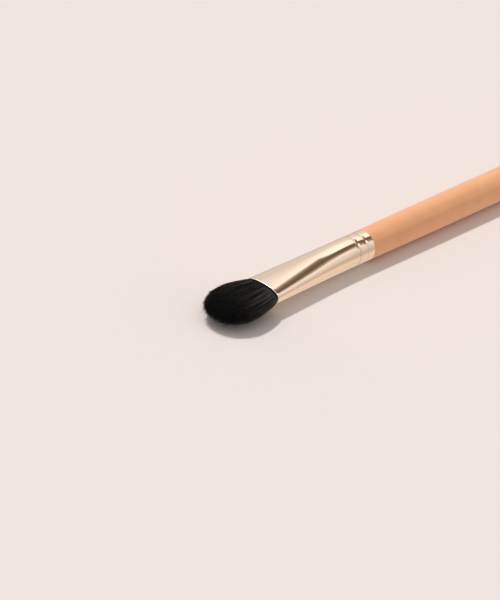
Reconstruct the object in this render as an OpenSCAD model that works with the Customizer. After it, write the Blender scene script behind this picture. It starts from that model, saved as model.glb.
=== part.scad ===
// A flat eyeshadow brush: a lacquered wooden handle, a thin metal ferrule that is round at the
// handle and pressed to a wide oval at its mouth, and a domed oval tuft of hair.
// The brush lies along X with its tuft towards +X, its wide side along Y and its flat faces up
// and down. The origin is under the middle of its length, on the surface that it lies on.

/* [Handle] */
// Length of the handle that shows behind the ferrule
handle_len = 98.9; // [85:0.1:120]
// Widest diameter of the handle, at its belly
belly_d = 9.5; // [9:0.1:11]
// Distance from the ferrule back to the belly
belly_at = 62; // [40:1:75]
// Diameter of the handle where its rounded tail begins
tail_d = 7.2; // [5:0.1:9]
// Length of the rounded tail
tail_len = 3.4; // [2:0.1:6]
// Length of the tenon that goes into the ferrule
tenon_len = 16; // [12:0.5:19]

/* [Ferrule] */
// Length of the ferrule
ferrule_len = 42.1; // [40:0.1:55]
// Outside diameter of the round end
collar_d = 9; // [8:0.1:10]
// Length of the round end, before the tube starts to flatten
collar_len = 8; // [7.6:0.1:10]
// Thickness of the metal
wall = 0.35; // [0.25:0.01:0.5]
// Outside width of the mouth
mouth_w = 12; // [10:0.1:14]
// Outside thickness of the mouth
mouth_t = 5; // [4:0.1:6]
// Distance from the round end's edge to the middle of the rear crimp
crimp_rear_at = 3; // [2:0.1:3.5]
// Distance from the round end's edge to the middle of the front crimp
crimp_front_at = 6.2; // [5.2:0.1:6.6]
// Width of a crimp
crimp_w = 1.6; // [0.6:0.1:1.6]
// Depth of a crimp
crimp_depth = 0.1; // [0.06:0.01:0.2]

/* [Tuft] */
// Length of the tuft in front of the mouth
tuft_len = 19; // [14:0.1:26]
// Greatest width of the tuft
tuft_w = 16.6; // [14:0.1:20]
// Greatest thickness of the tuft
tuft_t = 5.8; // [5.4:0.1:9]
// How far the tuft's tip hangs below the axis of the brush
tip_drop = 1.3; // [0:0.1:1.5]

/* [Roots and glue] */
// Depth of the bonded roots behind the mouth
root_depth = 11; // [9.5:0.5:14]
// Thickness of the slice of bonded roots that the strands stand on
slice_len = 1.5; // [1:0.1:2]
// Length of the bonded roots that fills the mouth, between the slice and the tied neck
root_full_len = 3.5; // [2:0.1:4]
// Diameter of the binding thread
thread_d = 0.4; // [0.3:0.05:0.5]
// Distance from one turn of the thread to the next
thread_pitch = 0.85; // [0.82:0.01:1]
// Length of solid resin behind the roots
resin_len = 4; // [2:0.5:7]
// Thickness of the adhesive between the tenon and the ferrule
bond_t = 0.15; // [0.1:0.01:0.25]

/* [Hidden] */
// Gap between two surfaces that are seated on each other
seat_gap = 0.02;
// Gap round a piece that fills the flattened tube
fill_gap = 0.05;
// Gap between the tenon's front end and the flattened tube
tenon_play = 0.5;
// Length of the tenon's rounded front end
tenon_nose = 0.8;
// Inset of the flattened tube's edges where it joins the round end, and how far it reaches into it
seam_inset = 0.02;
seam_overlap = 0.2;
// Rounding of the mouth's lip and of the round end's edge
lip_round = 0.12;

// Share of the flattened length over which the flattening eases in
ease_share = 0.4;
// Thickness of the roots' tied neck, as a share of the section that fills the mouth
neck_share = 0.66;
// Length of the slope from the full section to the neck, as a share of the neck's length
neck_slope_share = 0.12;
// Exponent of the mouth's oval; an ellipse has 2
mouth_power = 2.6;

// A tuft has 6 * strand_rows * strand_rows strands, in rows from its middle to its rim
strand_rows = 8;
// Strands in the hidden inner rows have one bend fewer
plain_rows = 5;
// Heights of a strand's foot, of its two bends and of the highest tip, as shares of the tuft's length
height_shares = [0, 0.25, 0.5, 1];
// Spread of the strands at those heights, as shares of the way from the mouth to the widest place
spread_w_shares = [0, 0.7, 1, 1.15];
spread_t_shares = [0, 0.62, 0.96, 1.1];
// Size of a strand in its cell at its foot and at its bends, as shares
strand_shares = [0.8, 0.84, 0.72];
// Height of the strands at the rim, as a share of the tuft's length
rim_share = 0.5;
// Unevenness of the strands' lengths, as a share of a strand
uneven_share = 0.06;
// How far a tip strays from the middle of its cell, as a share of the cell
stray_share = 0.5;
STRAY_SEED = 7;

// Sides of a turned piece, of the flattened tube and of a piece that fills it
ROUND_SIDES = 96;
TUBE_SIDES = 56;
FILL_SIDES = 6 * strand_rows;
// Rings along the flattened tube and along a piece that fills it
TUBE_RINGS = 14;
FILL_RINGS = 3;
// Steps along a stretch of the handle's outline, round its tail and across a crimp
OUTLINE_STEPS = 16;
TAIL_STEPS = 10;
CRIMP_STEPS = 8;
// Rings in one turn of the thread, and its sides
THREAD_STEPS = 24;
THREAD_SIDES = 6;

collar_r = collar_d / 2;
bore_r = collar_r - wall;
tenon_r = bore_r - bond_t;
thread_r = thread_d / 2;
total_len = handle_len + ferrule_len + tuft_len;
axis_z = max(belly_d, collar_d, tuft_t) / 2;
tail_x = -total_len / 2;
shoulder_x = tail_x + handle_len;
belly_x = shoulder_x - belly_at;
mouth_x = shoulder_x + ferrule_len;
collar_x = shoulder_x + collar_len;
press_len = ferrule_len - collar_len;
tenon_tip_r = half_t(ferrule_len - tenon_len) - wall - tenon_play;

// Inset of a piece that fills the flattened tube
fill_inset = wall + fill_gap;
neck_back = slice_len + root_full_len;
neck_len = root_depth - neck_back;
neck_w = (half_w(neck_back) - fill_inset) * neck_share;
neck_t = (half_t(neck_back) - fill_inset) * neck_share;
// Turns of thread that fit on the neck with two threads' width bare at each end
thread_turns = floor((neck_len - 4 * thread_d) / thread_pitch);
thread_x = mouth_x - neck_back - (neck_len + thread_turns * thread_pitch) / 2;

lacquer_colour = "#dc9a66";
metal_colour = "#e3c7a8";
hair_colour = "#191817";
root_colour = "#3a3430";
thread_colour = "#d9d2c3";
resin_colour = "#c9a24f";
adhesive_colour = "#efe6cf";

function mix(from, to, share) = from + (to - from) * share;

// A number's power, with its sign kept
function signed_pow(v, p) = sign(v) * pow(abs(v), p);

// Flattening of the tube at a distance back from the mouth: 1 at the mouth, 0 at the round end
function press(back) =
    let (t = max(0, 1 - back / press_len))
    t < ease_share
        ? t * t / (ease_share * (2 - ease_share))
        : (2 * t - ease_share) / (2 - ease_share);

// Half width, half thickness and exponent of the tube's outside at a distance back from the mouth
function half_w(back) = mix(collar_r, mouth_w / 2, press(back));
function half_t(back) = mix(collar_r, mouth_t / 2, press(back));
function power(back) = mix(2, mouth_power, press(back));

// A unit oval's point at an angle, as [across the width, across the thickness]
function oval(p, angle) = [signed_pow(cos(angle), 2 / p), signed_pow(sin(angle), 2 / p)];

// An oval ring of points across the brush
function oval_ring(x, w, t, p, sides) = [
    for (i = [0 : sides - 1])
        let (unit = oval(p, i * 360 / sides))
        [x, w * unit[0], axis_z + t * unit[1]]
];

// The tube's section at a distance back from the mouth, drawn in by an inset
function tube_ring(back, inset, sides) =
    oval_ring(mouth_x - back, half_w(back) - inset, half_t(back) - inset, power(back), sides);

// The roots' neck, made wider all round by a margin
function neck_ring(back, margin) =
    oval_ring(mouth_x - back, neck_w + margin, neck_t + margin, power(neck_back), FILL_SIDES);

// Rings of a piece that fills the tube, from a far distance back to a near one
function fill_rings(far, near) = [
    for (i = [0 : FILL_RINGS])
        tube_ring(mix(far, near, i / FILL_RINGS), fill_inset, FILL_SIDES)
];

function flat_list(lists) = [for (part = lists) for (item = part) item];

// Triangles between two rings of points, given the index of each ring's first point
function band_faces(here, next, sides) = [
    for (i = [0 : sides - 1])
        let (j = (i + 1) % sides)
        for (face = [[here + i, next + i, next + j], [here + i, next + j, here + j]])
            face
];

// Triangles from a ring to a point in front of it
function front_faces(ring, point, sides) = [
    for (i = [0 : sides - 1])
        [ring + i, point, ring + (i + 1) % sides]
];

// Triangles from a ring to a point behind it
function back_faces(ring, point, sides) = [
    for (i = [0 : sides - 1])
        [ring + i, ring + (i + 1) % sides, point]
];

function middle_of(points) = [for (p = points) 1] * points / len(points);

// A closed solid through rings, with its first and last ring filled
module capped_skin(rings) {
    sides = len(rings[0]);
    last = (len(rings) - 1) * sides;
    points = flat_list(rings);
    count = len(points);
    polyhedron(
        concat(points, [middle_of(rings[0]), middle_of(rings[len(rings) - 1])]),
        concat(
            back_faces(0, count, sides),
            [for (r = [0 : len(rings) - 2]) each band_faces(r * sides, (r + 1) * sides, sides)],
            front_faces(last, count + 1, sides)
        )
    );
}

// A tube's wall through rings, the last of which joins the first
module looped_skin(rings) {
    sides = len(rings[0]);
    rows = len(rings);
    polyhedron(
        flat_list(rings),
        [for (r = [0 : rows - 1]) each band_faces(r * sides, ((r + 1) % rows) * sides, sides)]
    );
}

// A profile of [place along the brush, radius] turned about the brush's axis
module turned(profile) {
    translate([0, 0, axis_z])
        rotate([0, 90, 0])
            rotate_extrude($fn = ROUND_SIDES)
                polygon([for (p = profile) [p[1], p[0]]]);
}

// How deep the crimps press in at a distance from the round end's edge
function crimp_at(d, middle) =
    abs(d - middle) < crimp_w / 2 ? crimp_depth * pow(cos(180 * (d - middle) / crimp_w), 2) : 0;
function crimp_dip(d) = crimp_at(d, crimp_rear_at) + crimp_at(d, crimp_front_at);

// Distances from the round end's edge at which a crimped surface has its points
function crimped_places(first, last) = [
    first,
    for (middle = [crimp_rear_at, crimp_front_at])
        for (i = [0 : CRIMP_STEPS])
            middle + crimp_w * (i / CRIMP_STEPS - 1 / 2),
    last
];

// A crimped surface's outline at a radius
function crimped_outline(radius, first, last) = [
    for (d = crimped_places(first, last))
        [shoulder_x + d, radius - crimp_dip(d)]
];

function reversed(list) = [for (i = [len(list) - 1 : -1 : 0]) list[i]];

// The rounded tail, from the axis to where the handle starts to swell
function tail_outline() = [
    for (i = [0 : TAIL_STEPS])
        let (angle = i * 90 / TAIL_STEPS)
        [tail_x + tail_len * (1 - cos(angle)), tail_d / 2 * sin(angle)]
];

// The swell from the tail to the belly, and the slow narrowing from the belly to the shoulder
function swell_outline() = [
    for (i = [1 : OUTLINE_STEPS])
        let (t = i / OUTLINE_STEPS)
        [mix(tail_x + tail_len, belly_x, t), mix(belly_d, tail_d, (1 - t) * (1 - t)) / 2]
];
function narrowing_outline() = [
    for (i = [1 : OUTLINE_STEPS])
        let (t = i / OUTLINE_STEPS)
        [mix(belly_x, shoulder_x - lip_round, t), mix(belly_d, collar_d, t * t) / 2]
];

module handle() {
    color(lacquer_colour)
        turned(concat(
            tail_outline(),
            swell_outline(),
            narrowing_outline(),
            [[shoulder_x - seat_gap, collar_r - lip_round]],
            crimped_outline(tenon_r, -seat_gap, collar_len),
            [
                [shoulder_x + tenon_len - tenon_nose, tenon_tip_r],
                [shoulder_x + tenon_len, tenon_tip_r - tenon_nose],
                [shoulder_x + tenon_len, 0]
            ]
        ));
}

module tenon_glue() {
    color(adhesive_colour)
        turned(concat(
            crimped_outline(bore_r - seat_gap, lip_round, collar_len - lip_round),
            reversed(crimped_outline(tenon_r + seat_gap, lip_round, collar_len - lip_round))
        ));
}

// The round end of the ferrule, with its two crimps pressed through the wall
module collar() {
    turned(concat(
        [[shoulder_x, collar_r - lip_round]],
        crimped_outline(collar_r, lip_round, collar_len),
        reversed(crimped_outline(bore_r, 0, collar_len))
    ));
}

// The part of the ferrule that is pressed from round to a wide oval
module pressed_tube() {
    seam_back = press_len + seam_overlap;
    backs = [for (i = [1 : TUBE_RINGS - 1]) press_len * (1 - i / TUBE_RINGS)];
    outer = concat(
        [tube_ring(seam_back, seam_inset, TUBE_SIDES)],
        [for (back = backs) tube_ring(back, 0, TUBE_SIDES)],
        [tube_ring(lip_round, 0, TUBE_SIDES), tube_ring(0, lip_round, TUBE_SIDES)]
    );
    inner = concat(
        [tube_ring(0, wall, TUBE_SIDES)],
        [for (back = reversed(backs)) tube_ring(back, wall, TUBE_SIDES)],
        [tube_ring(seam_back, wall - seam_inset, TUBE_SIDES)]
    );
    looped_skin(concat(outer, inner));
}

module ferrule() {
    color(metal_colour)
        union() {
            collar();
            pressed_tube();
        }
}

// Resin that fills the tube behind the roots and round their tied neck
module root_glue() {
    cup_mouth = neck_back + fill_gap;
    cup_floor = root_depth + fill_gap;
    margin = thread_d + 2 * fill_gap;
    color(resin_colour)
        capped_skin(concat(
            fill_rings(cup_floor + resin_len, cup_mouth),
            [neck_ring(cup_mouth, margin), neck_ring(cup_floor, margin)]
        ));
}

// Root ends of the hair, stuck together: a full plug in the mouth and a narrow tied neck behind it
module root_bundle() {
    color(root_colour)
        capped_skin(concat(
            [neck_ring(root_depth, 0), neck_ring(neck_back + neck_len * neck_slope_share, 0)],
            fill_rings(neck_back, slice_len + fill_gap)
        ));
}

// The thread's middle line, wound round the neck
function thread_point(step) =
    let (unit = oval(power(neck_back), step * 360 / THREAD_STEPS), out = thread_r + fill_gap)
    [
        thread_x + thread_pitch * step / THREAD_STEPS,
        (neck_w + out) * unit[0],
        axis_z + (neck_t + out) * unit[1]
    ];

function unit_vector(v) = v / norm(v);

function thread_ring(step) =
    let (
        along = unit_vector(thread_point(step + 1) - thread_point(step - 1)),
        side = unit_vector(cross(along, [1, 0, 0])),
        over = cross(along, side)
    )
    [
        for (i = [0 : THREAD_SIDES - 1])
            let (angle = i * 360 / THREAD_SIDES)
            thread_point(step) + thread_r * (cos(angle) * side + sin(angle) * over)
    ];

module binding_thread() {
    last_step = thread_turns * THREAD_STEPS;
    spacings = [
        for (i = [0 : last_step - THREAD_STEPS / 2])
            for (j = [i + THREAD_STEPS / 2 : min(i + 2 * THREAD_STEPS, last_step)])
                norm(thread_point(i) - thread_point(j))
    ];
    echo(least_gap_of_thread = min(spacings) - thread_d);
    color(thread_colour)
        capped_skin([for (step = [0 : last_step]) thread_ring(step)]);
}

// Strand cells: a disc of triangles in rows, where row k has 6 * k points on its outer ring
function cell_point(k, j) = k == 0 ? [0, 0] : k / strand_rows * oval(mouth_power, j * 60 / k);
function cell_index(k, j) = k == 0 ? 0 : 1 + 3 * k * (k - 1) + j % (6 * k);

// Each cell is three [row, place] pairs, counter-clockwise as seen from the tip
function row_cells(k) = [
    for (s = [0 : 5])
        for (m = [0 : 2 * k - 2])
            m < k
                ? [[k, s * k + m], [k, s * k + m + 1], [k - 1, s * (k - 1) + m]]
                : [[k - 1, s * (k - 1) + m - k + 1], [k - 1, s * (k - 1) + m - k], [k, s * k + m - k + 1]]
];

// Half width and half thickness of the tuft at a height, which is a share of its length
foot_w = half_w(0) - fill_inset;
foot_t = half_t(0) - fill_inset;
function spread(height, shares) = lookup(height, [for (i = [0 : 3]) [height_shares[i], shares[i]]]);
function tuft_half_w(height) = mix(foot_w, tuft_w / 2, spread(height, spread_w_shares));
function tuft_half_t(height) = mix(foot_t, tuft_t / 2, spread(height, spread_t_shares));

// A point of the unit oval carried up the tuft to a height, where the tuft hangs down a little
function carried(unit, height) = [
    mouth_x + tuft_len * height,
    tuft_half_w(height) * unit[0],
    axis_z - tip_drop * height * height + tuft_half_t(height) * unit[1]
];

// Height of a strand's tip: the tuft is domed, and its strands are a little uneven
function tip_height(unit, chance) =
    mix(rim_share, 1, sqrt(max(0, 1 - unit * unit))) * (1 - uneven_share * chance);

// Points of one strand: a triangle at its foot and at each bend, then its tip
function strand_points(cell, levels, chance) =
    let (
        corners = [for (place = cell) cell_point(place[0], place[1])],
        middle = middle_of(corners),
        tip = mix(middle, corners[floor(3 * chance[0])], stray_share * chance[1])
    )
    concat(
        [
            for (level = levels)
                for (corner = corners)
                    carried(mix(middle, corner, strand_shares[level]), height_shares[level])
        ],
        [carried(tip, tip_height(middle, chance[2]))]
    );

// Triangles of one strand whose first point has this index, and of the cell round its foot
function strand_faces(cell, first, bends) = concat(
    [
        for (i = [0 : 2])
            let (j = (i + 1) % 3, a = cell_index(cell[i][0], cell[i][1]), b = cell_index(cell[j][0], cell[j][1]))
            for (face = [[a, first + i, first + j], [a, first + j, b]])
                face
    ],
    [for (k = [0 : bends - 1]) each band_faces(first + 3 * k, first + 3 * k + 3, 3)],
    front_faces(first + 3 * bends, first + 3 * bends + 3, 3)
);

// The visible hair: strands that stand on a slice of the bonded roots and fan out to a dome
module tuft() {
    face_points = [
        for (k = [0 : strand_rows])
            for (j = [0 : max(0, 6 * k - 1)])
                carried(cell_point(k, j), 0)
    ];
    rim = len(face_points) - FILL_SIDES;
    back_rim = len(face_points);
    slice_points = concat(
        tube_ring(slice_len, fill_inset, FILL_SIDES),
        [[mouth_x - slice_len, 0, axis_z]]
    );
    plain_cells = [for (k = [1 : plain_rows]) each row_cells(k)];
    bent_cells = [for (k = [plain_rows + 1 : strand_rows]) each row_cells(k)];
    plain_first = back_rim + len(slice_points);
    bent_first = plain_first + len(plain_cells) * 7;
    count = len(plain_cells) + len(bent_cells);
    draws = rands(0, 1, 3 * count, STRAY_SEED);
    chances = [for (i = [0 : count - 1]) [draws[3 * i], draws[3 * i + 1], draws[3 * i + 2]]];
    echo(strands = count);
    color(hair_colour)
        polyhedron(
            concat(
                face_points,
                slice_points,
                [for (i = [0 : len(plain_cells) - 1]) each strand_points(plain_cells[i], [0, 2], chances[i])],
                [
                    for (i = [0 : len(bent_cells) - 1])
                        each strand_points(bent_cells[i], [0, 1, 2], chances[len(plain_cells) + i])
                ]
            ),
            concat(
                back_faces(back_rim, back_rim + FILL_SIDES, FILL_SIDES),
                band_faces(back_rim, rim, FILL_SIDES),
                [for (i = [0 : len(plain_cells) - 1]) each strand_faces(plain_cells[i], plain_first + 7 * i, 1)],
                [for (i = [0 : len(bent_cells) - 1]) each strand_faces(bent_cells[i], bent_first + 10 * i, 2)]
            )
        );
}

handle();
tenon_glue();
ferrule();
root_glue();
root_bundle();
binding_thread();
tuft();
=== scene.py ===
# %% [markdown]
# # A flat eyeshadow brush
# The brush has a lacquered wooden handle, a metal ferrule that is round at the handle and pressed
# to a wide oval at its mouth, and a domed tuft of black hair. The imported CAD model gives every
# place and size, and this lesson puts the real surfaces round it: a turned handle, a pressed tube
# and more than fourteen thousand separate hairs.
# The CAD model is loaded first, as a fixed frame, because all that follows is placed by it.

import math

import bmesh
import bpy
from mathutils import Matrix, Vector


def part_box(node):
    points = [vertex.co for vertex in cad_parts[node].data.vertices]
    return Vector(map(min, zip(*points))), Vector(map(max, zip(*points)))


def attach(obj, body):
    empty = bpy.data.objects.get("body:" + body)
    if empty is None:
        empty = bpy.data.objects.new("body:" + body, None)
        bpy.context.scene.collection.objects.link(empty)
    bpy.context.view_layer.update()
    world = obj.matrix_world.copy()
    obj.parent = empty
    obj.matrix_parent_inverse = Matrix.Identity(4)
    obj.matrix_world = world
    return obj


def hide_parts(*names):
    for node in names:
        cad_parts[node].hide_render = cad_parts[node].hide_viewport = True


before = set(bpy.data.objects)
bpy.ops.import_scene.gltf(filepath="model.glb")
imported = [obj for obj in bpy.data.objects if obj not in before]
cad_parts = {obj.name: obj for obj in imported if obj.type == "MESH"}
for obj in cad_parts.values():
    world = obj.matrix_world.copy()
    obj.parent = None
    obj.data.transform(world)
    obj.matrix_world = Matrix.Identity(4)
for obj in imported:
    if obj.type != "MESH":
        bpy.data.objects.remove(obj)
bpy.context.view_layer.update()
print("CAD nodes:", ", ".join(sorted(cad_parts)))

# %% [markdown]
# ## Places along the brush
# The brush lies along X with its tuft towards +X. Where a place is the end of a CAD solid, it is
# read from that solid's box, so that it can't drift away from the model. Sizes that no box shows,
# such as the depth of a crimp, are written down in millimetres and turned into metres.

# %% Read the main places
MM = 0.001
TAIL_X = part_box("handle")[0].x
SHOULDER_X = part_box("ferrule")[0].x
MOUTH_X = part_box("ferrule")[1].x
TIP_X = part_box("tuft")[1].x
AXIS_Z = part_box("handle")[1].z / 2
TUFT_LEN = TIP_X - MOUTH_X
print(f"ferrule {(MOUTH_X - SHOULDER_X) / MM:.1f} mm, tuft {TUFT_LEN / MM:.1f} mm")

# %% [markdown]
# ## Camera
# The picture is taken with a long lens from the tuft's end, a little above the brush. A long lens
# keeps the brush's sides nearly parallel. It would be possible to place the camera by eye, but a
# distance and three angles round the brush are easier to read and to change.

# %% Place the camera
AIM = Vector((MOUTH_X + 5.31 * MM, 0.59 * MM, 4.10 * MM))
CAMERA_DISTANCE = 794.6 * MM
CAMERA_TURN = math.radians(39.47)
CAMERA_RISE = math.radians(29.86)
CAMERA_LEAN = math.radians(-6.79)
LENS_LENGTH = 177.03


def direction(turn, rise):
    """The direction at an angle round the brush and an angle above the floor."""
    level = math.cos(rise)
    return Vector((level * math.cos(turn), level * math.sin(turn), math.sin(rise)))


camera_data = bpy.data.cameras.new("camera")
camera_data.lens = LENS_LENGTH
camera = bpy.data.objects.new("camera", camera_data)
bpy.context.scene.collection.objects.link(camera)
towards_camera = direction(CAMERA_TURN, CAMERA_RISE)
turned_to_brush = towards_camera.to_track_quat("Z", "Y").to_matrix().to_4x4()
camera.matrix_world = (
    Matrix.Translation(AIM + CAMERA_DISTANCE * towards_camera)
    @ turned_to_brush
    @ Matrix.Rotation(-CAMERA_LEAN, 4, "Z")
)
bpy.context.scene.camera = camera
bpy.context.scene.view_settings.view_transform = "Standard"
print("camera at", [round(place, 4) for place in camera.matrix_world.translation])

# %% [markdown]
# ## Writing node trees as sums
# Both materials and Geometry Nodes need arithmetic, and a Math node for each sign is hard to read.
# Here a small class stands for a number in a tree. When two such numbers are added or multiplied
# in Python, the class adds the Math node, so a formula in the script looks like the formula on
# paper. Blender also has ready-made node groups, but they would hide the sums.

# %% Numbers that add their own Math nodes
def feed(tree, entry, term):
    """Give a node's input a link, where the term comes from a node, or else a plain value."""
    if isinstance(term, Number):
        tree.links.new(term.socket, entry)
    elif isinstance(term, bpy.types.NodeSocket):
        tree.links.new(term, entry)
    else:
        entry.default_value = term


class Number:
    """A number in a node tree."""

    def __init__(self, tree, socket):
        self.tree = tree
        self.socket = socket

    def math(self, operation, *others):
        node = self.tree.nodes.new("ShaderNodeMath")
        node.operation = operation
        for entry, term in zip(node.inputs, (self, *others)):
            feed(self.tree, entry, term)
        return Number(self.tree, node.outputs[0])

    def __add__(self, other):
        return self.math("ADD", other)

    def __sub__(self, other):
        return self.math("SUBTRACT", other)

    def __mul__(self, other):
        return self.math("MULTIPLY", other)

    def __truediv__(self, other):
        return self.math("DIVIDE", other)

    def __pow__(self, other):
        return self.math("POWER", other)

    def __radd__(self, other):
        return self + other

    def __rmul__(self, other):
        return self * other

    def __rsub__(self, other):
        return self * -1 + other


# %% Helpers for sums and nodes
def mix(start, end, share):
    """The value that lies a share of the way from start to end."""
    return start + (end - start) * share


def signed_power(number, exponent):
    """A power that keeps the number's sign."""
    return number.math("SIGN") * number.math("ABSOLUTE") ** exponent


def smooth_step(number, low, high):
    """0 below low, 1 above high, and a smooth rise between them."""
    tree = number.tree
    node = add_node(tree, "ShaderNodeMapRange", interpolation_type="SMOOTHSTEP")
    for entry, term in zip(node.inputs, (number, low, high, 0.0, 1.0)):
        feed(tree, entry, term)
    return Number(tree, node.outputs[0])


def add_node(tree, kind, entries=None, **settings):
    """Add a node, set its settings, and feed its inputs by name."""
    node = tree.nodes.new(kind)
    for name, value in settings.items():
        setattr(node, name, value)
    for name, term in (entries or {}).items():
        feed(tree, node.inputs[name], term)
    return node


def mix_shaders(tree, share, first, second):
    """A shader that goes from the first to the second as the share goes from 0 to 1."""
    entries = {0: share, 1: first.outputs[0], 2: second.outputs[0]}
    return add_node(tree, "ShaderNodeMixShader", entries)


def stored(tree, name):
    """A number that the shape's own tree has stored on the mesh under a name."""
    return Number(tree, add_node(tree, "ShaderNodeAttribute", attribute_name=name).outputs["Fac"])


def vector(tree, x, y, z):
    """Three numbers joined into a vector."""
    return add_node(tree, "ShaderNodeCombineXYZ", {"X": x, "Y": y, "Z": z}).outputs[0]


def split(tree, socket):
    """The three numbers of a vector."""
    node = add_node(tree, "ShaderNodeSeparateXYZ", {0: socket})
    return [Number(tree, output) for output in node.outputs]


# %% [markdown]
# ## Studio
# The brush lies on a plain pale sheet under one soft sun from behind, so that its shadow falls
# towards the camera. A lamp and a pale world together light a level surface to strength 1, so
# that a colour looks about as it is written.
#
# Polished metal looks like what it reflects. A studio has bright cards and dark gaps between
# them, and one such gap shows as a brown stripe on the ferrule. Real cards would be seen in other
# views, so the world holds them, and only for reflected rays. The lower half of the ferrule
# mirrors the sheet that it lies on. So the sheet is given a painted glow of its own, seen only in
# reflections, with painted shade in it: dim right under the brush, where no light gets in,
# brightest just beside it, and calmer farther out.

# %% Colours written as on a paint card
def linear(part):
    """The light that a part of a colour code stands for. The numbers are those of sRGB."""
    if part <= 0.04045:
        return part / 12.92
    return ((part + 0.055) / 1.055) ** 2.4


def paint(code):
    """A colour code such as "#dc9a66", as the linear values that Blender works in."""
    parts = [int(code[start:start + 2], 16) / 255 for start in (1, 3, 5)]
    return (*(linear(part) for part in parts), 1.0)


# %% Helpers for objects and materials
def add_object(name, mesh):
    """Put a mesh into the scene as an object at the origin."""
    made = bpy.data.objects.new(name, mesh)
    bpy.context.scene.collection.objects.link(made)
    return made


def new_material(name, **constants):
    """A material with its constant values set on the Principled shader's own sockets."""
    material = bpy.data.materials.new(name)
    material.use_nodes = True
    surface = material.node_tree.nodes["Principled BSDF"]
    for socket, value in constants.items():
        surface.inputs[socket.replace("_", " ")].default_value = value
    return material, material.node_tree, surface


# %% Floor
FLOOR_SIZE = 6.0
FLOOR_COLOUR = "#f0e6e1"
FLOOR_ROUGHNESS = 0.9
FLOOR_GLOSS = 0.1
MIRRORED_FLOOR_COLOUR = "#fff8ee"
MIRRORED_FLOOR_SHARE = 0.85
MIRRORED_FLOOR_PAINTED_SHADE = 0.45
MIRRORED_FLOOR_NEAR = 0.93
MIRRORED_FLOOR_FAR = 0.63
# The floor's painted glow in reflections changes between these distances from the line under the
# brush's axis
MIRRORED_SHADOW_EDGES = (1.5 * MM, 4 * MM)
MIRRORED_FLOOR_EDGES = (10 * MM, 19 * MM)

floor_mesh = bpy.data.meshes.new("floor")
half = FLOOR_SIZE / 2
floor_mesh.from_pydata(
    [(-half, -half, 0), (half, -half, 0), (half, half, 0), (-half, half, 0)], [], [(0, 1, 2, 3)]
)
floor = add_object("floor", floor_mesh)
floor_paint, floor_nodes, floor_surface = new_material(
    "pale_card",
    Base_Color=paint(FLOOR_COLOUR),
    Roughness=FLOOR_ROUGHNESS,
    Specular_IOR_Level=FLOOR_GLOSS,
)
floor.data.materials.append(floor_paint)
# Painted glow: the floor shines by itself in reflected rays, with painted shade along the line
# under the brush.
floor_place = add_node(floor_nodes, "ShaderNodeTexCoord").outputs["Object"]
aside = split(floor_nodes, floor_place)[1].math("ABSOLUTE")
lit = smooth_step(aside, *MIRRORED_SHADOW_EDGES)
near = mix(MIRRORED_FLOOR_PAINTED_SHADE, MIRRORED_FLOOR_NEAR, lit)
fade = smooth_step(aside, *MIRRORED_FLOOR_EDGES)
painted_glow = add_node(
    floor_nodes,
    "ShaderNodeEmission",
    {
        "Color": paint(MIRRORED_FLOOR_COLOUR),
        "Strength": mix(near, MIRRORED_FLOOR_FAR, fade),
    },
)
floor_rays = add_node(floor_nodes, "ShaderNodeLightPath").outputs
reflected = Number(floor_nodes, floor_rays["Is Glossy Ray"])
both = mix_shaders(floor_nodes, reflected * MIRRORED_FLOOR_SHARE, floor_surface, painted_glow)
feed(floor_nodes, floor_nodes.nodes["Material Output"].inputs["Surface"], both.outputs[0])
print("floor", FLOOR_SIZE, "m wide")

# %% Sun
SUN_TURN = math.radians(-105.0)
SUN_RISE = math.radians(60.8)
SUN_SPREAD = math.radians(5)
SUN_STRENGTH = 1.8
SUN_COLOUR = (1.0, 0.985, 0.965)

sun_data = bpy.data.lights.new("sun", "SUN")
sun_data.energy = SUN_STRENGTH
sun_data.angle = SUN_SPREAD
sun_data.color = SUN_COLOUR
sun = bpy.data.objects.new("sun", sun_data)
bpy.context.scene.collection.objects.link(sun)
sun.rotation_euler = direction(SUN_TURN, SUN_RISE).to_track_quat("Z", "Y").to_euler()
print("level surface gets", round(SUN_STRENGTH * math.sin(SUN_RISE) / math.pi, 2), "from the sun")

# %% [markdown]
# The world is drawn by direction: each place in it is a vector of length 1, whose parts tell how
# far a reflected ray looks along the brush, across it and up. The first card lies on one side of
# the gap and the second on the other. The gap is bent, as its image is on the tapered ferrule, so
# each of its edges has one place across for its far end and one for its near end.

# %% Sizes of the cards and the gap
WORLD_STRENGTH = 0.5
WORLD_COLOUR = "#fffdfc"
CARD_LOW = 0.64
CARD_SLOPE = 0.41
CARD_GLOW = 0.38
CARD_EDGES = (0.48, 0.75)
CARD_COLOUR = (0.965, 0.99, 1.0, 1.0)
FIRST_CARD_SHARES = (1.1, 0.94)
FIRST_CARD_FADE = (-0.665, -0.585)
SECOND_CARD_GLOW = 0.28
SECOND_CARD_WIDTH = 0.4
GAP_COLOUR = (0.17, 0.134, 0.096, 1.0)
GAP_START = (0.065, -0.22)
GAP_END = (0.475, 0.345)
GAP_BEND_START = (-0.675, -0.605)
GAP_BEND_END = (-0.705, -0.675)
GAP_SOFT_START = 0.06
GAP_SOFT_END = 0.04
GAP_REACH = ((-0.86, -0.82), (-0.45, -0.5))
print("the gap is", round(GAP_END[1] - GAP_START[1], 2), "wide near the tuft")

# %% World
def background(tree, colour, strength):
    """A part of the world that shines with a colour and a strength."""
    return add_node(tree, "ShaderNodeBackground", {"Color": colour, "Strength": strength})


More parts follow.
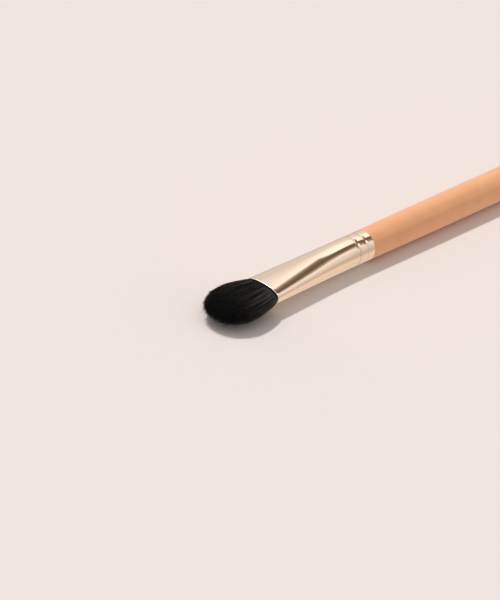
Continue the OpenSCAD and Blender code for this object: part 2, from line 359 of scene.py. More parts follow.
world = bpy.data.worlds.new("studio")
bpy.context.scene.world = world
world.use_nodes = True
tree = world.node_tree
tree.nodes.clear()
looks_at = add_node(tree, "ShaderNodeTexCoord").outputs["Generated"]
along, across, height = split(tree, looks_at)
start = mix(*GAP_START, smooth_step(along, *GAP_BEND_START))
end = mix(*GAP_END, smooth_step(along, *GAP_BEND_END))
gap = smooth_step(across, start - GAP_SOFT_START, start + GAP_SOFT_START)
gap = gap * smooth_step(across, end + GAP_SOFT_END, end - GAP_SOFT_END)
gap = gap * smooth_step(along, *GAP_REACH[0]) * smooth_step(along, *GAP_REACH[1])
above = height.math("GREATER_THAN", 0)
gap = gap * above
card = CARD_LOW + height * CARD_SLOPE + smooth_step(height, *CARD_EDGES) * CARD_GLOW
first_share = mix(*FIRST_CARD_SHARES, smooth_step(along, *FIRST_CARD_FADE))
card = card * mix(1, first_share, across.math("LESS_THAN", start))
second_card = across.math("GREATER_THAN", end)
second_card = second_card * smooth_step(across, end + SECOND_CARD_WIDTH, end)
card = card + second_card * above * SECOND_CARD_GLOW
shade = add_node(
    tree, "ShaderNodeMix", {0: gap, 6: CARD_COLOUR, 7: GAP_COLOUR}, data_type="RGBA"
)
mirrored = background(tree, shade.outputs[2], mix(card, 1, gap))
plain = background(tree, paint(WORLD_COLOUR), WORLD_STRENGTH)
seen = background(tree, paint(FLOOR_COLOUR), 1.0)
rays = add_node(tree, "ShaderNodeLightPath").outputs
lighting = mix_shaders(tree, rays["Is Glossy Ray"], plain, mirrored)
straight = Number(tree, rays["Is Camera Ray"]).math("MAXIMUM", rays["Is Transmission Ray"])
whole = mix_shaders(tree, straight, lighting, seen)
add_node(tree, "ShaderNodeOutputWorld", {"Surface": whole.outputs[0]})
print("world of", len(tree.nodes), "nodes")

# %% [markdown]
# ## Finishes
# Every finish is made of nodes, so it has no picture that could run out of detail. Patterns read
# the piece's own coordinates, in millimetres, because the details of a brush are that small.

# %% Helpers for patterns
def brush_place(tree, stretch=(1.0, 1.0, 1.0)):
    """The place on the brush in millimetres, stretched along each axis."""
    place = add_node(tree, "ShaderNodeTexCoord").outputs["Object"]
    scale = tuple(share / MM for share in stretch)
    return add_node(tree, "ShaderNodeMapping", {"Vector": place, "Scale": scale}).outputs[0]


def noise(tree, place, scale=1.0, detail=2.0):
    """A cloudy pattern between 0 and 1."""
    entries = {"Vector": place, "Scale": scale, "Detail": detail}
    return Number(tree, add_node(tree, "ShaderNodeTexNoise", entries).outputs[0])


def tint(tree, surface, share, stops):
    """Colours that follow a number: each stop is a place from 0 to 1 and a colour code."""
    node = add_node(tree, "ShaderNodeValToRGB", {0: share})
    ends = node.color_ramp.elements
    while len(ends) < len(stops):
        ends.new(0.5)
    for element, (place, code) in zip(ends, stops):
        element.position = place
        element.color = paint(code)
    tree.links.new(node.outputs[0], surface.inputs["Base Color"])


def relief(tree, surface, height, depth):
    """Bumps of a depth in metres, which catch the light but don't move the surface."""
    node = add_node(tree, "ShaderNodeBump", {"Height": height, "Strength": 1.0, "Distance": depth})
    tree.links.new(node.outputs[0], surface.inputs["Normal"])


# %% [markdown]
# The handle's finish is a caramel satin lacquer, sprayed in several coats over sealed wood. What
# shows is an even colour that clouds very slightly, a trace of the grain under it, and the soft
# dimples of sprayed lacquer. A thin clear coat over a rougher base gives the satin gloss.

# %% Lacquer
GRAIN_STRETCH = (0.05, 1.1, 1.1)
GRAIN_SHARE = 0.45
CLOUD_SCALE = 0.16
DIMPLE_SCALE = 1.7
LACQUER_ROUGHNESS = (0.44, 0.52)
GRAIN_RELIEF = 0.3
LACQUER_RELIEF = 0.006 * MM
LACQUER_COLOURS = [(0.3, "#f1a975"), (0.5, "#f5af7b"), (0.7, "#f9b585")]

lacquer, tree, surface = new_material(
    "caramel_lacquer", Coat_Weight=0.25, Coat_Roughness=0.3, IOR=1.48
)
grain = noise(tree, brush_place(tree, GRAIN_STRETCH), detail=3.0)
clouds = noise(tree, brush_place(tree), scale=CLOUD_SCALE, detail=1.0)
dimples = noise(tree, brush_place(tree), scale=DIMPLE_SCALE, detail=1.0)
tint(tree, surface, mix(clouds, grain, GRAIN_SHARE), LACQUER_COLOURS)
feed(tree, surface.inputs["Roughness"], mix(*LACQUER_ROUGHNESS, dimples))
relief(tree, surface, dimples + grain * GRAIN_RELIEF, LACQUER_RELIEF)
print("lacquer of", len(tree.nodes), "nodes")

# %% [markdown]
# The ferrule is thin aluminium with a pale rose-gold finish. Drawing the tube through a die leaves
# very fine lines along it, and the crimping tool leaves a duller, mottled skin near the grooves.
# The shape's own tree stores how deep the grooves are, in an attribute called groove, and here the
# metal is darker and rougher where that is high. The lip at the mouth is left duller too, since
# it is a cut edge.

# %% Rose-gold metal
DRAWN_STRETCH = (0.03, 5.0, 5.0)
STREAK_STRETCH = (0.12, 1.6, 1.6)
MOTTLE_STRETCH = (1.6, 2.4, 2.4)
WORKED_END = (11 * MM, 6 * MM)
LIP_EDGE = (0.2 * MM, 0.08 * MM)
METAL_COLOURS = [(0.05, "#f7dac2"), (0.3, "#f3d4ba"), (0.8, "#c69c7c")]
STREAK_TINT, MOTTLE_TINT, GROOVE_TINT = 0.3, 0.2, 0.2
METAL_ROUGHNESS = 0.045
STREAK_DULL, MOTTLE_DULL, GROOVE_DULL, LIP_DULL = 0.03, 0.1, 0.06, 0.3
DRAWN_RELIEF = 0.12
METAL_RELIEF = 0.004 * MM

metal, tree, surface = new_material("rose_gold_plate", Metallic=1.0)
drawn = noise(tree, brush_place(tree, DRAWN_STRETCH))
streaks = noise(tree, brush_place(tree, STREAK_STRETCH))
mottle = noise(tree, brush_place(tree, MOTTLE_STRETCH), detail=3.0)
x_place = split(tree, add_node(tree, "ShaderNodeTexCoord").outputs["Object"])[0]
mottle = mottle * smooth_step(x_place, *(SHOULDER_X + end for end in WORKED_END))
lip = smooth_step(x_place, *(MOUTH_X - end for end in LIP_EDGE))
groove = stored(tree, "groove")
tint(
    tree,
    surface,
    streaks * STREAK_TINT + mottle * MOTTLE_TINT + groove * GROOVE_TINT,
    METAL_COLOURS,
)
dull = streaks * STREAK_DULL + mottle * MOTTLE_DULL + groove * GROOVE_DULL + lip * LIP_DULL
feed(tree, surface.inputs["Roughness"], dull + METAL_ROUGHNESS)
relief(tree, surface, drawn * DRAWN_RELIEF + mottle, METAL_RELIEF)
print("metal of", len(tree.nodes), "nodes")

# %% [markdown]
# The hair is dyed goat hair, nearly black. Each hair carries two attributes from its own tree:
# its tone, a chance value that makes some locks and hairs greyer and that also holds a painted
# sheen, and reach, which runs from 0 at the mouth to 1 at the tip. The colour is darkened with
# painted shade at the mouth, where light doesn't get down between the hairs, and towards the tips,
# where little of it gets out again. The gloss is low for the same reason.

# %% Hair
MOUTH_SHADE_END = (0.01, 0.05)
TIP_SHADE_START = (0.2, 0.8)
TIP_LIGHT = 0.52
HAIR_COLOURS = [(0.08, "#040404"), (0.22, "#161514"), (0.45, "#353330"), (0.8, "#625e58")]
HAIR_ROUGHNESS = (0.46, 0.34)

hair, tree, surface = new_material("black_goat_hair", Specular_IOR_Level=0.16)
tone_and_sheen, reach = stored(tree, "tone_and_sheen"), stored(tree, "reach")
# Painted shade: the colour is darkened at the mouth and towards the tips.
tip_light = mix(1, TIP_LIGHT, smooth_step(reach, *TIP_SHADE_START))
painted_light = smooth_step(reach, *MOUTH_SHADE_END) * tip_light
tint(tree, surface, tone_and_sheen * painted_light, HAIR_COLOURS)
feed(tree, surface.inputs["Roughness"], mix(*HAIR_ROUGHNESS, tone_and_sheen))
print("hair of", len(tree.nodes), "nodes")

# %% [markdown]
# Inside the ferrule are four pieces that nobody sees until the brush is cut open: the glue round
# the tenon, the resin behind the roots, the stuck roots themselves and the thread that ties them.
# Their CAD solids have the right shape, so they stay and only get a finish.

# %% Finishes of the inner pieces
SKIN_SCALE, SKIN_RELIEF = 1.3, 0.03 * MM
BUBBLE_SCALE, BUBBLE_RELIEF = 1.4, 0.04 * MM
FIBRE_STRETCH, FIBRE_RELIEF = (0.06, 7.0, 7.0), 0.05 * MM
PLY_STRETCH, PLY_WAVER, PLY_RELIEF = (3.0, 1.2, 1.2), 1.5, 0.05 * MM

adhesive, tree, surface = new_material("cream_glue", Roughness=0.45, Specular_IOR_Level=0.4)
skin = noise(tree, brush_place(tree), scale=SKIN_SCALE, detail=3.0)
tint(tree, surface, skin, [(0.3, "#e6dabf"), (0.7, "#f2ead2")])
relief(tree, surface, skin, SKIN_RELIEF)

resin, tree, surface = new_material("amber_resin", Roughness=0.18, Coat_Weight=0.4)
bubbles = add_node(
    tree,
    "ShaderNodeTexVoronoi",
    {"Vector": brush_place(tree), "Scale": BUBBLE_SCALE, "Randomness": 1.0},
)
bubble = Number(tree, bubbles.outputs["Distance"])
tint(tree, surface, bubble, [(0.1, "#dcb765"), (0.4, "#c49a48"), (0.9, "#a87c31")])
relief(tree, surface, bubble, BUBBLE_RELIEF)

stuck_roots, tree, surface = new_material("resined_roots", Roughness=0.35, Coat_Weight=0.3)
fibres = noise(tree, brush_place(tree, FIBRE_STRETCH))
tint(tree, surface, fibres, [(0.3, "#191613"), (0.55, "#2b2621"), (0.8, "#5a4630")])
relief(tree, surface, fibres, FIBRE_RELIEF)

twine, tree, surface = new_material("cotton_thread", Roughness=0.85, Sheen_Weight=0.3)
twist = add_node(
    tree,
    "ShaderNodeTexWave",
    {"Vector": brush_place(tree, PLY_STRETCH), "Scale": 1.0, "Distortion": PLY_WAVER},
    bands_direction="DIAGONAL",
)
ply = Number(tree, twist.outputs["Fac"])
tint(tree, surface, ply, [(0.1, "#b9b09c"), (0.5, "#d8d0bf"), (0.9, "#e8e2d4")])
relief(tree, surface, ply, PLY_RELIEF)

for name, finish in {
    "tenon_glue": adhesive,
    "root_glue": resin,
    "root_bundle": stuck_roots,
    "binding_thread": twine,
}.items():
    for material_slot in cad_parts[name].material_slots:
        material_slot.material = finish
    print(name, "has", finish.name)

# %% [markdown]
# ## Turned shapes
# A handle is made on a lathe, and a ferrule starts as a plain tube. Both are an outline turned
# about the brush's axis. Blender's Spin or Screw would do it too, but a lathe in a few lines of
# mesh code lets us choose every ring, keep the poles closed, and set the rings closer together at
# the edges, where the light turns quickly.

# %% A lathe
CORNER_STEPS = 4
SHARP_ANGLE = math.radians(40)


def turned(name, outline, sides, closed=False):
    """Turn an outline of (x, radius) about the axis. A closed outline gives a tube's wall."""
    mesh = bmesh.new()
    angles = [2 * math.pi * step / sides for step in range(sides)]
    rings = []
    for x, radius in outline:
        if radius == 0:
            rings.append([mesh.verts.new((x, 0, AXIS_Z))])
            continue
        rings.append(
            [
                mesh.verts.new((x, radius * math.cos(angle), AXIS_Z + radius * math.sin(angle)))
                for angle in angles
            ]
        )
    pairs = list(zip(rings, rings[1:]))
    if closed:
        pairs.append((rings[-1], rings[0]))
    for here, there in pairs:
        for step in range(sides):
            after = (step + 1) % sides
            corners = [here[step % len(here)], there[step % len(there)]]
            corners += [there[after % len(there)], here[after % len(here)]]
            mesh.faces.new(list(dict.fromkeys(corners)))
    bmesh.ops.recalc_face_normals(mesh, faces=mesh.faces)
    data = bpy.data.meshes.new(name)
    mesh.to_mesh(data)
    mesh.free()
    data.shade_smooth()
    return add_object(name, data)


def places(start, end, steps):
    """Evenly spaced numbers after start, up to and with end."""
    return [mix(start, end, step / steps) for step in range(1, steps + 1)]


def rounded_corner(middle_x, middle_radius, rounding, first_angle, last_angle):
    """A quarter turn of an outline round a corner's middle."""
    angles = [first_angle] + places(first_angle, last_angle, CORNER_STEPS)
    return [
        (
            middle_x + rounding * math.cos(math.radians(angle)),
            middle_radius + rounding * math.sin(math.radians(angle)),
        )
        for angle in angles
    ]


# %% [markdown]
# The handle swells slowly from the ferrule to its belly, narrows again, and ends in a rounded
# tail. Its front end is turned down to a tenon that goes into the ferrule, with two grooves that
# the crimps grip. The photograph shows only the front of it, so the rest is a usual brush handle.

# %% Sizes of the handle and the round end of the ferrule
BELLY_BACK = 62 * MM
BELLY_RADIUS = 4.75 * MM
TAIL_RADIUS = 3.6 * MM
TAIL_ROUND = 3.4 * MM
COLLAR_RADIUS = 4.5 * MM
WALL = 0.35 * MM
BORE_RADIUS = COLLAR_RADIUS - WALL
GLUE_GAP = 0.15 * MM
TENON_RADIUS = BORE_RADIUS - GLUE_GAP
TENON_LEN = 16 * MM
TENON_NOSE = 0.8 * MM
TENON_TIP_RADIUS = 3.47 * MM
EDGE_ROUND = 0.12 * MM
SEAT_GAP = 0.02 * MM
CRIMPS = (3.0 * MM, 6.2 * MM)
CRIMP_WIDTH = 1.6 * MM
CRIMP_DEPTHS = (0.04 * MM, 0.06 * MM)
COLLAR_LEN = 8 * MM
TAIL_RINGS = 20
BACK_RINGS = 30
FRONT_RINGS = 50
COLLAR_RINGS = 90
print(f"tenon {2 * TENON_RADIUS / MM:.1f} mm thick in a bore of {2 * BORE_RADIUS / MM:.1f} mm")

# %% Outline of the handle
def crimp_dip(along):
    """How far the crimps press in at a distance from the ferrule's rear edge."""
    dip = 0.0
    for middle, depth in zip(CRIMPS, CRIMP_DEPTHS):
        if abs(along - middle) < CRIMP_WIDTH / 2:
            dip += depth * math.cos(math.pi * (along - middle) / CRIMP_WIDTH) ** 2
    return dip


belly_x = SHOULDER_X - BELLY_BACK
swell_x = TAIL_X + TAIL_ROUND
front_x = SHOULDER_X - SEAT_GAP - EDGE_ROUND
outline = [(TAIL_X, 0.0)]
for angle in places(0, math.pi / 2, TAIL_RINGS):
    outline.append((TAIL_X + TAIL_ROUND * (1 - math.cos(angle)), TAIL_RADIUS * math.sin(angle)))
for share in places(0, 1, BACK_RINGS):
    radius = mix(BELLY_RADIUS, TAIL_RADIUS, (1 - share) ** 2)
    outline.append((mix(swell_x, belly_x, share), radius))
for share in places(0, 1, FRONT_RINGS):
    outline.append((mix(belly_x, front_x, share), mix(BELLY_RADIUS, COLLAR_RADIUS, share**2)))
outline += rounded_corner(front_x, COLLAR_RADIUS - EDGE_ROUND, EDGE_ROUND, 90, 0)[1:]
for along in places(-SEAT_GAP, COLLAR_LEN, COLLAR_RINGS):
    outline.append((SHOULDER_X + along, TENON_RADIUS - crimp_dip(along)))
tenon_end = SHOULDER_X + TENON_LEN
outline.append((tenon_end - TENON_NOSE, TENON_TIP_RADIUS))
outline.append((tenon_end, TENON_TIP_RADIUS - TENON_NOSE))
outline.append((tenon_end, 0.0))
print("handle outline of", len(outline), "points")

# %% Turn the handle
HANDLE_SIDES = 160
handle = turned("lacquered_handle", outline, HANDLE_SIDES)
handle.data.set_sharp_from_angle(angle=SHARP_ANGLE)
handle.data.materials.append(lacquer)
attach(handle, "root")
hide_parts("handle")
print("handle of", len(handle.data.polygons), "faces")

# %% [markdown]
# ## Shapes that follow a rule
# Geometry Nodes suit shapes that follow a rule. A tree is built here with a named input for each
# size, it is put on an object as a modifier, and its inputs are set by the socket's identifier
# before the object is first worked out. The result is then kept as a plain mesh, so that nothing
# depends on the modifier afterwards.

# %% Helpers for Geometry Nodes
def new_tree(name, sizes):
    """A Geometry Nodes tree, with its inputs as numbers under their names."""
    tree = bpy.data.node_groups.new(name, "GeometryNodeTree")
    face = tree.interface
    face.new_socket("Geometry", in_out="INPUT", socket_type="NodeSocketGeometry")
    for label, size in sizes.items():
        kind = "NodeSocketInt" if isinstance(size, int) else "NodeSocketFloat"
        face.new_socket(label, in_out="INPUT", socket_type=kind)
    face.new_socket("Geometry", in_out="OUTPUT", socket_type="NodeSocketGeometry")
    entry = tree.nodes.new("NodeGroupInput")
    return tree, {
        socket.name: Number(tree, socket) for socket in entry.outputs if socket.name
    }


def end_tree(tree, geometry, material):
    """Close a tree: real geometry instead of instances, smooth faces and the material."""
    real = add_node(tree, "GeometryNodeRealizeInstances", {0: geometry})
    smooth = add_node(tree, "GeometryNodeSetShadeSmooth", {0: real.outputs[0]})
    finished = add_node(
        tree, "GeometryNodeSetMaterial", {0: smooth.outputs[0], "Material": material}
    )
    out = tree.nodes.new("NodeGroupOutput")
    tree.links.new(finished.outputs[0], out.inputs[0])


def run_tree(tree, piece, sizes):
    """Run a tree on a piece with these sizes, and keep the result as a plain mesh."""
    modifier = piece.modifiers.new(tree.name, "NODES")
    modifier.node_group = tree
    for socket in tree.interface.items_tree:
        if socket.in_out == "INPUT" and socket.name in sizes:
            modifier[socket.identifier] = sizes[socket.name]
    graph = bpy.context.evaluated_depsgraph_get()
    made = bpy.data.meshes.new_from_object(
        piece.evaluated_get(graph), preserve_all_data_layers=True, depsgraph=graph
    )
    piece.modifiers.clear()
    piece.data = made
    made.name = piece.name


def position(tree):
    """The x, y and z of each point."""
    return split(tree, add_node(tree, "GeometryNodeInputPosition").outputs[0])


def store(tree, geometry, name, value):
    """Keep a number for each point of a shape, under a name."""
    entries = {0: geometry, "Name": name, "Value": value}
    return add_node(tree, "GeometryNodeStoreNamedAttribute", entries).outputs[0]


def move(tree, geometry, place):
    """Set each point of a shape to a new place."""
    return add_node(tree, "GeometryNodeSetPosition", {0: geometry, "Position": place}).outputs[0]


# %% [markdown]
# The ferrule is made here as it is in a workshop. A plain round tube is turned first, with a
# rounded lip at each end. The tree then rolls two crimps into its round end and presses the rest
# between two dies, gently at first and then evenly, until its mouth is a wide oval. A loft between
# a circle and an oval would look alike, but it wouldn't show why the width grows as the thickness
# shrinks: the wall keeps its length all the way round.

# %% The plain tube
TUBE_SIDES = 176
OUTER_RINGS = 74
INNER_RINGS = 40
INNER_COLLAR_RINGS = 60


def tube_outline():
    """The wall's closed outline: outside to the mouth, round the lip, and inside back again."""
    rear, lip = SHOULDER_X + EDGE_ROUND, MOUTH_X - EDGE_ROUND
    collar_end = SHOULDER_X + COLLAR_LEN
    outer, inner = COLLAR_RADIUS - EDGE_ROUND, BORE_RADIUS + EDGE_ROUND
    line = rounded_corner(rear, outer, EDGE_ROUND, 180, 90)
    line += [(x, COLLAR_RADIUS) for x in places(rear, collar_end, COLLAR_RINGS)]
    line += [(x, COLLAR_RADIUS) for x in places(collar_end, lip, OUTER_RINGS)]
    line += rounded_corner(lip, outer, EDGE_ROUND, 90, 0)[1:]
    line += rounded_corner(lip, inner, EDGE_ROUND, 0, -90)
    line += [(x, BORE_RADIUS) for x in places(lip, collar_end, INNER_RINGS)]
    line += [(x, BORE_RADIUS) for x in places(collar_end, rear, INNER_COLLAR_RINGS)]
    line += rounded_corner(rear, inner, EDGE_ROUND, -90, -180)[1:]
    return line


ferrule = turned("pressed_ferrule", tube_outline(), TUBE_SIDES, closed=True)
print("plain tube of", len(ferrule.data.polygons), "faces")

# %% The press
PRESS_SIZES = {
    "Rear edge": SHOULDER_X,
    "Mouth": MOUTH_X,
    "Axis height": AXIS_Z,
    "Tube radius": COLLAR_RADIUS,
    "Pressed length": MOUTH_X - SHOULDER_X - COLLAR_LEN,
    "Mouth half width": 6.0 * MM,
    "Mouth half thickness": 2.5 * MM,
    "Mouth exponent": 2.6,
    "Ease share": 0.4,
    "Rear crimp": CRIMPS[0],
    "Front crimp": CRIMPS[1],
    "Crimp width": CRIMP_WIDTH,
    "Rear depth": CRIMP_DEPTHS[0],
    "Front depth": CRIMP_DEPTHS[1],
}


def press_share(back, length, ease):
    """How far the tube is pressed at a distance back from the mouth, from 0 to 1."""
    travel = (1 - back / length).math("MAXIMUM", 0)
    easing = travel * travel / (ease * (2 - ease))
    steady = (travel * 2 - ease) / (2 - ease)
    is_easing = travel.math("LESS_THAN", ease)
    return mix(steady, easing, is_easing)


def crimp(along, middle, width, depth):
    """The dip of one crimp at a distance from the rear edge."""
    turn = ((along - middle) / width).math("MAXIMUM", -0.5).math("MINIMUM", 0.5)
    return depth * (turn * math.pi).math("COSINE") ** 2


press, size = new_tree("crimp_and_press", PRESS_SIZES)
x, y, z = position(press)
z = z - size["Axis height"]
radius = (y * y + z * z).math("SQRT")
back = size["Mouth"] - x
share = press_share(back, size["Pressed length"], size["Ease share"])
exponent = 2 * (2 + share * (size["Mouth exponent"] - 2)) ** -1
along = x - size["Rear edge"]
dip = crimp(along, size["Rear crimp"], size["Crimp width"], size["Rear depth"])
dip = dip + crimp(along, size["Front crimp"], size["Crimp width"], size["Front depth"])
inset = size["Tube radius"] - radius + dip
half_width = mix(size["Tube radius"], size["Mouth half width"], share) - inset
half_thickness = mix(size["Tube radius"], size["Mouth half thickness"], share) - inset
pressed = vector(
    press,
    x,
    half_width * signed_power(y / radius, exponent),
    half_thickness * signed_power(z / radius, exponent) + size["Axis height"],
)
grooved = store(press, size["Geometry"], "groove", dip / size["Front depth"])
end_tree(press, move(press, grooved, pressed), metal)
print("press of", len(press.nodes), "nodes")

# %% Press the tube
run_tree(press, ferrule, PRESS_SIZES)
ferrule.data.set_sharp_from_angle(angle=SHARP_ANGLE)
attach(ferrule, "root")
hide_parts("ferrule")
ferrule_size = [round(side / MM, 2) for side in ferrule.dimensions]
print("ferrule of", len(ferrule.data.polygons), "faces,", ferrule_size, "mm")

# %% [markdown]
# ## The tuft
# A brush maker ties the hair in a cup that already has the shape of the dome, so no hair is cut:
# the natural tips make the soft end. The hairs leave the flat mouth side by side, fan out to the
# belly, and end on a dome, the middle ones longest. Blender's own hair system would draw them, but
# it isn't a mesh, so here Geometry Nodes grow each hair as a thin tapered rod with three sides.
# Neighbouring hairs cling together in small locks, which is what makes hair look like hair.
# The tree is run for three layers, because a single mesh of all the hairs would be too heavy.
#
# The named inputs are the sizes of the tuft as a whole. How the hairs behave in it, such as how
# soon they gather into locks, is the same in each layer, so it is held in plain values.

# %% Sizes of the tuft
HAIR_SIZES = {
    "Hairs": 4800,
    "Seed": 0,
    "Inner edge": 0.0,
    "Outer edge": 1.0,
    "Mouth": MOUTH_X,
    "Axis height": AXIS_Z,
    "Root depth": 0.35 * MM,
    "Length": TUFT_LEN * 1.075,
    "Tip drop": 1.3 * MM,
    "Foot half width": 5.64 * MM,
    "Foot half thickness": 2.08 * MM,
    "Lip spread": 0.3 * MM,
    "Belly half width": 7.88 * MM,
    "Belly half thickness": 2.84 * MM,
    "Oval exponent": 2.4,
    "Rim share": 0.5,
    "Dome exponent": 2.3,
    "Unevenness": 0.17,
    "Hair radius": 0.042 * MM,
    "Lock pull": 0.88,
    "Lock lift": 0.45 * MM,
    "Stray": 0.9 * MM,
}
HAIR_POINTS = 7
HAIR_SIDES = 3
HAIR_TAPER = 0.65
GOLDEN_TURN = math.pi * (3 - math.sqrt(5))
LAYERS = {
    "tuft_heart": {"Inner edge": 0.0, "Outer edge": 0.66, "Hairs": 4800},
    "tuft_body": {"Inner edge": 0.66, "Outer edge": 0.88, "Hairs": 4800},
    "tuft_rim": {"Inner edge": 0.88, "Outer edge": 1.0, "Hairs": 4900},
}
print(sum(layer["Hairs"] for layer in LAYERS.values()), "hairs in", len(LAYERS), "layers")

# %% Chance and locks
def chance(tree, number, seed, salt):
    """A number from 0 to 1 that differs from hair to hair."""
    node = add_node(tree, "FunctionNodeRandomValue", {"ID": number, "Seed": seed + salt})
    return Number(tree, node.outputs[1])


def lock_of(tree, u, v, locks):
    """The middle of the lock that a hair's foot belongs to, and two numbers for the lock alone."""
    node = add_node(
        tree,
        "ShaderNodeTexVoronoi",
        {"Vector": vector(tree, u, v, 0.0), "Scale": locks, "Randomness": 1.0},
        voronoi_dimensions="2D",
    )
    return split(tree, node.outputs["Position"])[:2] + split(tree, node.outputs["Color"])[:2]


# %% The tree that grows hair
grow, size = new_tree("grow_hair", HAIR_SIZES)
seeds = add_node(grow, "GeometryNodePoints", {"Count": size["Hairs"]}).outputs[0]
numbered = store(grow, seeds, "hair", add_node(grow, "GeometryNodeInputIndex").outputs[0])
line = add_node(grow, "GeometryNodeCurvePrimitiveLine")
stepped = add_node(grow, "GeometryNodeResampleCurve", {0: line.outputs[0], "Count": HAIR_POINTS})
planted = add_node(
    grow, "GeometryNodeInstanceOnPoints", {0: numbered, "Instance": stepped.outputs[0]}
)
hairs = add_node(grow, "GeometryNodeRealizeInstances", {0: planted.outputs[0]}).outputs[0]

named = add_node(grow, "GeometryNodeInputNamedAttribute", {"Name": "hair"}, data_type="FLOAT")
number = Number(grow, named.outputs[0])
along_hair = Number(grow, add_node(grow, "GeometryNodeSplineParameter").outputs["Factor"])
print("each hair has", HAIR_POINTS, "points and", HAIR_SIDES, "sides")

# %% [markdown]
# The feet of the hairs are set in the mouth on a spiral that turns by the golden angle, as the
# seeds of a sunflower are, so they are evenly dense without standing in rows. The circle that
# this fills is then squared off a little, to the same kind of oval as the ferrule's mouth.
#
# A hair's foot is given as u and v, which run from -1 to 1 across the mouth and up it. A
# Voronoi pattern over u and v tells which lock the foot belongs to, once for the large locks and
# once for the small ones.

# %% Feet of the hairs
low, high = size["Inner edge"], size["Outer edge"]
ring = mix(low * low, high * high, (number + 0.5) / size["Hairs"]).math("SQRT")
turn = number * GOLDEN_TURN
shape_power = 2 * size["Oval exponent"] ** -1
u = ring * signed_power(turn.math("COSINE"), shape_power)
v = ring * signed_power(turn.math("SINE"), shape_power)

# %% Locks
COARSE_LOCKS = 6.0
FINE_LOCKS = 24.0

coarse_u, coarse_v, coarse_tone, _ = lock_of(grow, u, v, COARSE_LOCKS)
fine_u, fine_v, fine_tone, fine_lift = lock_of(grow, u, v, FINE_LOCKS)
print("locks per unit:", COARSE_LOCKS, "large and", FINE_LOCKS, "small")

# %% [markdown]
# Each chance value has a salt of its own, so that a hair which is short by chance isn't always
# astray as well. A high power of a chance value is nearly always close to 0 and seldom large,
# which gives a few odd hairs among many orderly ones.
#
# A hair's height follows the square of the place along its line, so that its points lie closer
# together near the mouth, where it bends most. The height as a share of the tuft's length is
# called reach.

# %% Length and height
SHORT_RARITY = 6
SHORT_SHARE = 0.25

own = chance(grow, number, size["Seed"], 1)
uneven = mix(fine_lift, own, 0.5) * size["Unevenness"]
short = chance(grow, number, size["Seed"], 2) ** SHORT_RARITY * SHORT_SHARE
dome_power = size["Dome exponent"]
roundness = (1 - ring**dome_power).math("MAXIMUM", 0) ** (dome_power**-1)
dome = mix(size["Rim share"], 1, roundness)
top = size["Length"] * dome * (1 - uneven - short)
height = mix(size["Root depth"] * -1, top, along_hair ** 2)
reach = (height / size["Length"]).math("MAXIMUM", 0)
print("longest hair", round(HAIR_SIZES["Length"] / MM, 1), "mm")

# %% [markdown]
# A lock forms where hairs lean towards its middle. The small locks close up soon after the mouth,
# and the large ones mostly near the tips. Each small lock also lies a little farther out or in
# than its neighbours, and each hair strays a little from its lock.

# %% How locks and strays move a hair
COARSE_DELAY, COARSE_SHARE = 1.4, 0.4
FINE_PACE = 2.5
LIFT_PACE = 3
STRAY_RARITY, STRAY_EXTRA, STRAY_USUAL = 10, 2, 0.35


def soon(reach, pace):
    """A rise from 0 at the mouth to 1, which is over at 1 / pace of the tuft's length."""
    return (reach * pace).math("MINIMUM", 1)


def either_way(share):
    """A number from 0 to 1 spread out to go from -1 to 1."""
    return share * 2 - 1


coarse_pull = size["Lock pull"] * reach ** COARSE_DELAY * COARSE_SHARE
fine_pull = size["Lock pull"] * soon(reach, FINE_PACE)
u = mix(mix(u, fine_u, fine_pull), coarse_u, coarse_pull)
v = mix(mix(v, fine_v, fine_pull), coarse_v, coarse_pull)
lift = either_way(fine_lift) * size["Lock lift"] * soon(reach, LIFT_PACE)
loose = chance(grow, number, size["Seed"], 5) ** STRAY_RARITY * STRAY_EXTRA + STRAY_USUAL
stray = reach ** 2 * size["Stray"]
stray_y = either_way(chance(grow, number, size["Seed"], 3)) * stray * loose
stray_z = either_way(chance(grow, number, size["Seed"], 4)) * stray * loose
print("strays by up to", round(HAIR_SIZES["Stray"] * (STRAY_EXTRA + STRAY_USUAL) / MM, 1), "mm")

# %% [markdown]
# The hair is pressed tight inside the mouth. It spreads over the lip at once and then fans out to
# the belly, fastest near the mouth. Its tips sink a little, because soft hair hangs.

# %% The fan of hair
LIP_PACE = 90
WIDTH_PACE, WIDTH_END = 3.9, 1.15
THICKNESS_PACE, THICKNESS_END = 3.4, 1.1


def spread(reach, pace, end):
    """How far the hair has spread from its foot to its belly: quick at first, then slower."""
    return (1 - (reach * -pace).math("EXPONENT")) * end


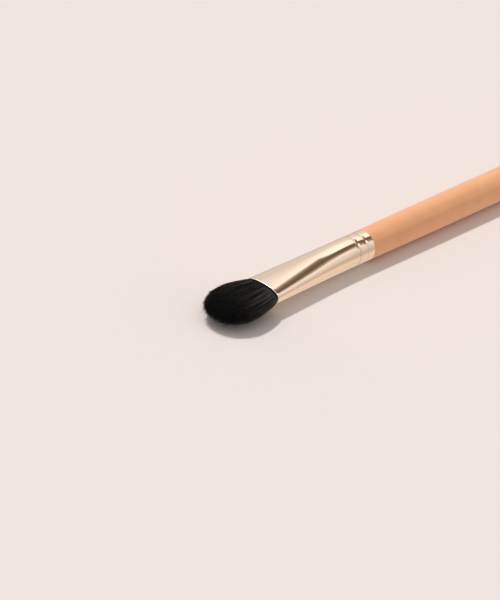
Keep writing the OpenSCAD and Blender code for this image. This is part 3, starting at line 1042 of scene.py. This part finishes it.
over_lip = size["Lip spread"] * soon(reach, LIP_PACE)
half_width = over_lip + mix(
    size["Foot half width"],
    size["Belly half width"] - size["Lip spread"],
    spread(reach, WIDTH_PACE, WIDTH_END),
)
half_thickness = over_lip + mix(
    size["Foot half thickness"],
    size["Belly half thickness"] - size["Lip spread"],
    spread(reach, THICKNESS_PACE, THICKNESS_END),
)
grown = vector(
    grow,
    size["Mouth"] + height,
    u * (half_width + lift) + stray_y,
    v * (half_thickness + lift) + stray_z - size["Tip drop"] * reach ** 2 + size["Axis height"],
)
print("the belly is", round(2 * HAIR_SIZES["Belly half width"] / MM, 1), "mm wide")

# %% [markdown]
# A lock is painted greyer where its hairs lie so that the light catches them, as a painted sheen,
# and that changes along the lock, so its tone is a chance value times a slow noise. Tone and reach
# are stored before the hairs are moved, because a curve's parameter is worked out again from its
# new shape afterwards. The material then reads both.

# %% Tone with a painted sheen, and rods along the hairs
SHIMMER_PACE = 6
SHIMMER_APART = 40
LOCK_CONTRAST = 1.4
SHIMMER_GAIN, SHIMMER_LOSS = 1.7, 0.25
COARSE_TONE_SHARE = 0.1
OWN_TONE_SHARE = 0.25

pattern = vector(
    grow, reach * SHIMMER_PACE, fine_tone * SHIMMER_APART, coarse_tone * SHIMMER_APART
)
shimmer = noise(grow, pattern, detail=1.0)
# Painted sheen: the slow noise makes parts of each lock greyer where the light would catch them.
tone_and_sheen = fine_tone ** LOCK_CONTRAST * (shimmer * SHIMMER_GAIN - SHIMMER_LOSS)
tone_and_sheen = tone_and_sheen + coarse_tone * COARSE_TONE_SHARE
tone_and_sheen = tone_and_sheen + chance(grow, number, size["Seed"], 6) * OWN_TONE_SHARE
toned = store(grow, store(grow, hairs, "tone_and_sheen", tone_and_sheen), "reach", reach)
section = add_node(
    grow,
    "GeometryNodeCurvePrimitiveCircle",
    {"Resolution": HAIR_SIDES, "Radius": size["Hair radius"]},
)
rods = add_node(
    grow,
    "GeometryNodeCurveToMesh",
    {
        0: move(grow, toned, grown),
        "Profile Curve": section.outputs[0],
        "Scale": 1 - HAIR_TAPER * along_hair ** 2,
        "Fill Caps": True,
    },
)
end_tree(grow, rods.outputs[0], hair)
print("hair tree of", len(grow.nodes), "nodes")

# %% [markdown]
# Each layer is a ring of the mouth with its own seed. The seeds lie farther apart than the salts
# do, so that no two layers share a chance value.

# %% Grow the layers
SEED_STEP = 10

for place, (name, own_sizes) in enumerate(LAYERS.items()):
    layer = add_object(name, bpy.data.meshes.new(name))
    run_tree(grow, layer, HAIR_SIZES | own_sizes | {"Seed": SEED_STEP * place})
    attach(layer, "root")
    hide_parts("tuft")
    print(name, "of", own_sizes["Hairs"], "hairs,", len(layer.data.polygons), "faces")
